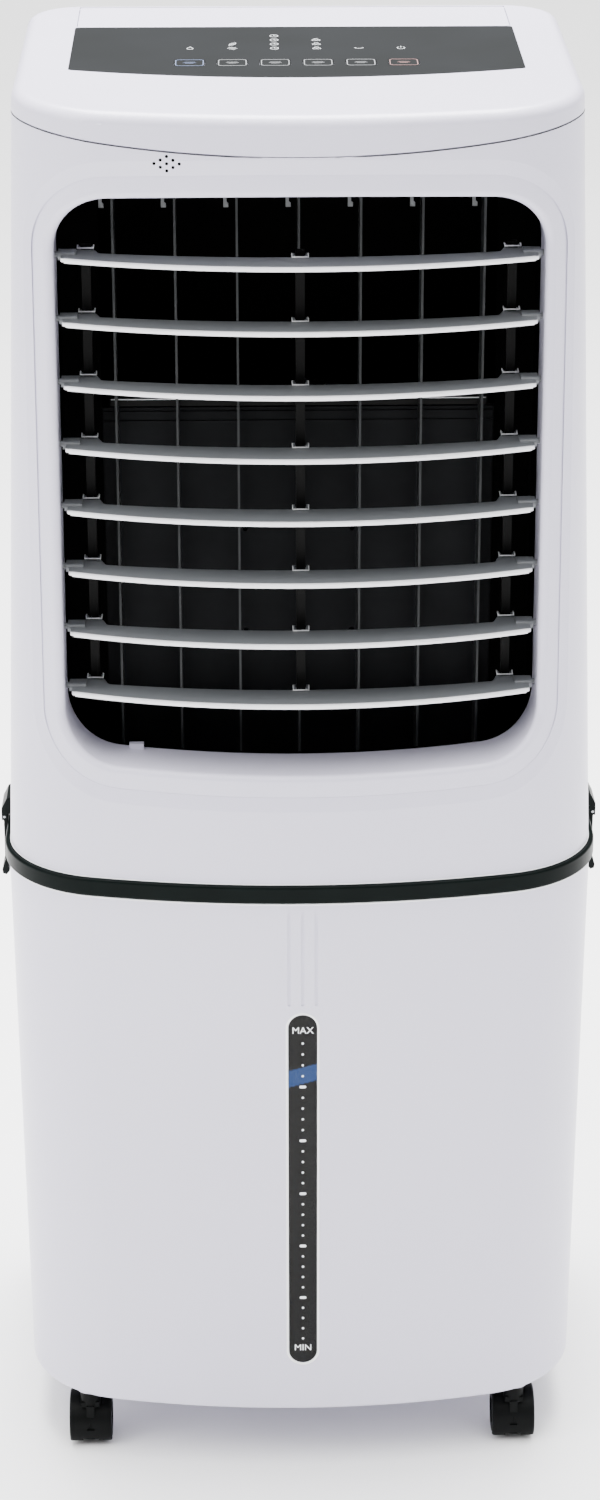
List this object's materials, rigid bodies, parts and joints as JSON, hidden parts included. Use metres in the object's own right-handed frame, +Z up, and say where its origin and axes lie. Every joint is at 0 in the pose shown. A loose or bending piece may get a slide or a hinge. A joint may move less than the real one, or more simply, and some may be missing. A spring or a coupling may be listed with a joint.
{
  "type": "evaporative cooler",
  "caption": "Tall floor-standing air cooler with a water tank on casters, a louvered air outlet with upright vanes, a blower, a cooling pad and a sloped control panel.",
  "frame": {"origin": "on the floor, under the middle of the waist, midway between the two sides and between front and back", "axes": "+X to the right as seen from the front, +Y to the back, +Z up"},
  "size_m": [0.5204, 0.4149, 1.2284],
  "materials": {
    "white_shell": "satin-gloss moulded ABS",
    "louver_plastic": "satin moulded ABS",
    "smoked_window": "smoked clear acrylic, polished",
    "band_plastic": "satin moulded plastic",
    "panel_gloss": "glossy film over plastic",
    "circuit_board": "solder-masked laminate",
    "dark_frame": "fine-textured moulded plastic",
    "dark_plastic": "moulded plastic",
    "grille_plastic": "satin moulded ABS",
    "filter_mesh": "woven mesh",
    "steel": "plated",
    "pad_cellulose": "resin-treated paper honeycomb",
    "distributor_plastic": "moulded plastic",
    "blue_hose": "ribbed flexible hose",
    "caster_plastic": "moulded nylon",
    "caster_wheel": "moulded nylon"
  },
  "bodies": {
    "cooler": {"water_tank": "white_shell", "level_window": "smoked_window", "waist_band": "band_plastic", "upper_housing": "white_shell", "outlet_frame": "dark_frame", "top_cap": "white_shell", "control_panel": "panel_gloss", "control_board": "circuit_board", "swing_motor": "dark_plastic", "blower_housing": "dark_plastic", "blower_cover": "dark_plastic", "fan_motor": "steel", "water_distributor": "distributor_plastic", "water_pump": "dark_plastic", "water_hose": "blue_hose", "cord_gland": "dark_plastic", "case_screws": "steel", "latch_catches": "dark_plastic", "latch_pins": "steel"},
    "louver_1": {"louver_1": "louver_plastic"},
    "louver_2": {"louver_2": "louver_plastic"},
    "louver_3": {"louver_3": "louver_plastic"},
    "louver_4": {"louver_4": "louver_plastic"},
    "louver_5": {"louver_5": "louver_plastic"},
    "louver_6": {"louver_6": "louver_plastic"},
    "louver_7": {"louver_7": "louver_plastic"},
    "louver_8": {"louver_8": "louver_plastic"},
    "louver_side_links": {"louver_side_links": "dark_frame"},
    "louver_centre_link": {"louver_centre_link": "dark_frame"},
    "vane_1": {"vane_1": "dark_frame"},
    "vane_2": {"vane_2": "dark_frame"},
    "vane_3": {"vane_3": "dark_frame"},
    "vane_4": {"vane_4": "dark_frame"},
    "vane_5": {"vane_5": "dark_frame"},
    "vane_6": {"vane_6": "dark_frame"},
    "vane_7": {"vane_7": "dark_frame"},
    "vane_link": {"vane_link": "dark_frame"},
    "key_1": {"key_1": "panel_gloss"},
    "key_2": {"key_2": "panel_gloss"},
    "key_3": {"key_3": "panel_gloss"},
    "key_4": {"key_4": "panel_gloss"},
    "key_5": {"key_5": "panel_gloss"},
    "key_6": {"key_6": "panel_gloss"},
    "wheel": {"blower_wheel": "dark_plastic", "motor_shaft": "steel"},
    "lid": {"top_lid": "white_shell"},
    "pad_cassette": {"rear_grille": "grille_plastic", "cooling_pad": "pad_cellulose", "dust_filter": "filter_mesh"},
    "drain_plug": {"drain_plug": "dark_plastic"},
    "latch_left": {"latch_left": "dark_plastic"},
    "latch_right": {"latch_right": "dark_plastic"},
    "caster_1": {"caster_hood_1": "caster_plastic"},
    "caster_wheels_1": {"caster_wheels_1": "caster_wheel"},
    "caster_2": {"caster_hood_2": "caster_plastic"},
    "caster_wheels_2": {"caster_wheels_2": "caster_wheel"},
    "caster_3": {"caster_hood_3": "caster_plastic"},
    "caster_wheels_3": {"caster_wheels_3": "caster_wheel"},
    "caster_4": {"caster_hood_4": "caster_plastic"},
    "caster_wheels_4": {"caster_wheels_4": "caster_wheel"}
  },
  "joints": [
    {"name": "louver_1_tilt", "type": "hinge", "parent": "cooler", "child": "louver_1", "pos_m": [0, -0.11936, 1.0818], "axis": [1, 0, 0], "range_deg": [-30, 30]},
    {"name": "louver_2_tilt", "type": "hinge", "parent": "cooler", "child": "louver_2", "pos_m": [0, -0.12102, 1.0303], "axis": [1, 0, 0], "range_deg": [-30, 30]},
    {"name": "louver_3_tilt", "type": "hinge", "parent": "cooler", "child": "louver_3", "pos_m": [0, -0.12269, 0.9788], "axis": [1, 0, 0], "range_deg": [-30, 30]},
    {"name": "louver_4_tilt", "type": "hinge", "parent": "cooler", "child": "louver_4", "pos_m": [0, -0.12435, 0.9273], "axis": [1, 0, 0], "range_deg": [-30, 30]},
    {"name": "louver_5_tilt", "type": "hinge", "parent": "cooler", "child": "louver_5", "pos_m": [0, -0.12602, 0.8758], "axis": [1, 0, 0], "range_deg": [-30, 30]},
    {"name": "louver_6_tilt", "type": "hinge", "parent": "cooler", "child": "louver_6", "pos_m": [0, -0.12769, 0.8243], "axis": [1, 0, 0], "range_deg": [-30, 30]},
    {"name": "louver_7_tilt", "type": "hinge", "parent": "cooler", "child": "louver_7", "pos_m": [0, -0.12935, 0.7728], "axis": [1, 0, 0], "range_deg": [-30, 30]},
    {"name": "louver_8_tilt", "type": "hinge", "parent": "cooler", "child": "louver_8", "pos_m": [0, -0.13102, 0.7213], "axis": [1, 0, 0], "range_deg": [-30, 30]},
    {"name": "louver_side_links_pivot", "type": "hinge", "parent": "louver_1", "child": "louver_side_links", "pos_m": [0, -0.10336, 1.0818], "axis": [1, 0, 0], "range_deg": [-30, 30]},
    {"name": "louver_centre_link_pivot", "type": "hinge", "parent": "louver_1", "child": "louver_centre_link", "pos_m": [0, -0.13236, 1.0818], "axis": [1, 0, 0], "range_deg": [-30, 30]},
    {"name": "vane_1_swing", "type": "hinge", "parent": "cooler", "child": "vane_1", "pos_m": [-0.15, -0.08, 0.9], "axis": [0, 0, 1], "range_deg": [-30, 30]},
    {"name": "vane_2_swing", "type": "hinge", "parent": "cooler", "child": "vane_2", "pos_m": [-0.1, -0.08, 0.9], "axis": [0, 0, 1], "range_deg": [-30, 30]},
    {"name": "vane_3_swing", "type": "hinge", "parent": "cooler", "child": "vane_3", "pos_m": [-0.05, -0.08, 0.9], "axis": [0, 0, 1], "range_deg": [-30, 30]},
    {"name": "vane_4_swing", "type": "hinge", "parent": "cooler", "child": "vane_4", "pos_m": [0, -0.08, 0.9], "axis": [0, 0, 1], "range_deg": [-30, 30]},
    {"name": "vane_5_swing", "type": "hinge", "parent": "cooler", "child": "vane_5", "pos_m": [0.05, -0.08, 0.9], "axis": [0, 0, 1], "range_deg": [-30, 30]},
    {"name": "vane_6_swing", "type": "hinge", "parent": "cooler", "child": "vane_6", "pos_m": [0.1, -0.08, 0.9], "axis": [0, 0, 1], "range_deg": [-30, 30]},
    {"name": "vane_7_swing", "type": "hinge", "parent": "cooler", "child": "vane_7", "pos_m": [0.15, -0.08, 0.9], "axis": [0, 0, 1], "range_deg": [-30, 30]},
    {"name": "vane_link_pivot", "type": "hinge", "parent": "vane_4", "child": "vane_link", "pos_m": [0, -0.062, 0.945], "axis": [0, 0, 1], "range_deg": [-30, 30]},
    {"name": "key_1_press", "type": "slide", "parent": "cooler", "child": "key_1", "axis": [0, 0.0732, -0.9973], "range_m": [0, 0.0008], "stiffness_N_per_m": 600, "springref_m": -0.0006},
    {"name": "key_2_press", "type": "slide", "parent": "cooler", "child": "key_2", "axis": [0, 0.0732, -0.9973], "range_m": [0, 0.0008], "stiffness_N_per_m": 600, "springref_m": -0.0006},
    {"name": "key_3_press", "type": "slide", "parent": "cooler", "child": "key_3", "axis": [0, 0.0732, -0.9973], "range_m": [0, 0.0008], "stiffness_N_per_m": 600, "springref_m": -0.0006},
    {"name": "key_4_press", "type": "slide", "parent": "cooler", "child": "key_4", "axis": [0, 0.0732, -0.9973], "range_m": [0, 0.0008], "stiffness_N_per_m": 600, "springref_m": -0.0006},
    {"name": "key_5_press", "type": "slide", "parent": "cooler", "child": "key_5", "axis": [0, 0.0732, -0.9973], "range_m": [0, 0.0008], "stiffness_N_per_m": 600, "springref_m": -0.0006},
    {"name": "key_6_press", "type": "slide", "parent": "cooler", "child": "key_6", "axis": [0, 0.0732, -0.9973], "range_m": [0, 0.0008], "stiffness_N_per_m": 600, "springref_m": -0.0006},
    {"name": "blower_spin", "type": "hinge", "parent": "cooler", "child": "wheel", "pos_m": [0, 0.06, 0.786], "axis": [0, 1, 0], "continuous": true},
    {"name": "lid_hinge", "type": "hinge", "parent": "cooler", "child": "lid", "pos_m": [0, 0.18663, 1.22636], "axis": [-1, 0, 0], "range_deg": [0, 80]},
    {"name": "pad_cassette_slide", "type": "slide", "parent": "cooler", "child": "pad_cassette", "axis": [0, 1, 0], "range_m": [0, 0.12]},
    {"name": "drain_plug_turn", "type": "hinge", "parent": "cooler", "child": "drain_plug", "pos_m": [0.12, 0.203, 0.092], "axis": [0, 1, 0], "range_deg": [0, 90]},
    {"name": "latch_left_swing", "type": "hinge", "parent": "cooler", "child": "latch_left", "pos_m": [-0.2564, -0.037, 0.571], "axis": [0, 1, 0], "range_deg": [0, 70]},
    {"name": "latch_right_swing", "type": "hinge", "parent": "cooler", "child": "latch_right", "pos_m": [0.2564, -0.037, 0.571], "axis": [0, -1, 0], "range_deg": [0, 70]},
    {"name": "caster_1_swivel", "type": "hinge", "parent": "cooler", "child": "caster_1", "pos_m": [-0.1905, -0.152, 0.05], "axis": [0, 0, 1], "continuous": true},
    {"name": "caster_1_roll", "type": "hinge", "parent": "caster_1", "child": "caster_wheels_1", "pos_m": [-0.1905, -0.14, 0.02], "axis": [1, 0, 0], "continuous": true},
    {"name": "caster_2_swivel", "type": "hinge", "parent": "cooler", "child": "caster_2", "pos_m": [0.1905, -0.152, 0.05], "axis": [0, 0, 1], "continuous": true},
    {"name": "caster_2_roll", "type": "hinge", "parent": "caster_2", "child": "caster_wheels_2", "pos_m": [0.1905, -0.14, 0.02], "axis": [1, 0, 0], "continuous": true},
    {"name": "caster_3_swivel", "type": "hinge", "parent": "cooler", "child": "caster_3", "pos_m": [-0.1905, 0.15, 0.05], "axis": [0, 0, 1], "continuous": true},
    {"name": "caster_3_roll", "type": "hinge", "parent": "caster_3", "child": "caster_wheels_3", "pos_m": [-0.1905, 0.162, 0.02], "axis": [1, 0, 0], "continuous": true},
    {"name": "caster_4_swivel", "type": "hinge", "parent": "cooler", "child": "caster_4", "pos_m": [0.1905, 0.15, 0.05], "axis": [0, 0, 1], "continuous": true},
    {"name": "caster_4_roll", "type": "hinge", "parent": "caster_4", "child": "caster_wheels_4", "pos_m": [0.1905, 0.162, 0.02], "axis": [1, 0, 0], "continuous": true}
  ],
  "couplings": [
    {"joint": "louver_2_tilt", "follows": "louver_1_tilt", "ratio": 1},
    {"joint": "louver_3_tilt", "follows": "louver_1_tilt", "ratio": 1},
    {"joint": "louver_4_tilt", "follows": "louver_1_tilt", "ratio": 1},
    {"joint": "louver_5_tilt", "follows": "louver_1_tilt", "ratio": 1},
    {"joint": "louver_6_tilt", "follows": "louver_1_tilt", "ratio": 1},
    {"joint": "louver_7_tilt", "follows": "louver_1_tilt", "ratio": 1},
    {"joint": "louver_8_tilt", "follows": "louver_1_tilt", "ratio": 1},
    {"joint": "louver_side_links_pivot", "follows": "louver_1_tilt", "ratio": -1},
    {"joint": "louver_centre_link_pivot", "follows": "louver_1_tilt", "ratio": -1},
    {"joint": "vane_1_swing", "follows": "vane_4_swing", "ratio": 1},
    {"joint": "vane_2_swing", "follows": "vane_4_swing", "ratio": 1},
    {"joint": "vane_3_swing", "follows": "vane_4_swing", "ratio": 1},
    {"joint": "vane_5_swing", "follows": "vane_4_swing", "ratio": 1},
    {"joint": "vane_6_swing", "follows": "vane_4_swing", "ratio": 1},
    {"joint": "vane_7_swing", "follows": "vane_4_swing", "ratio": 1},
    {"joint": "vane_link_pivot", "follows": "vane_4_swing", "ratio": -1}
  ]
}
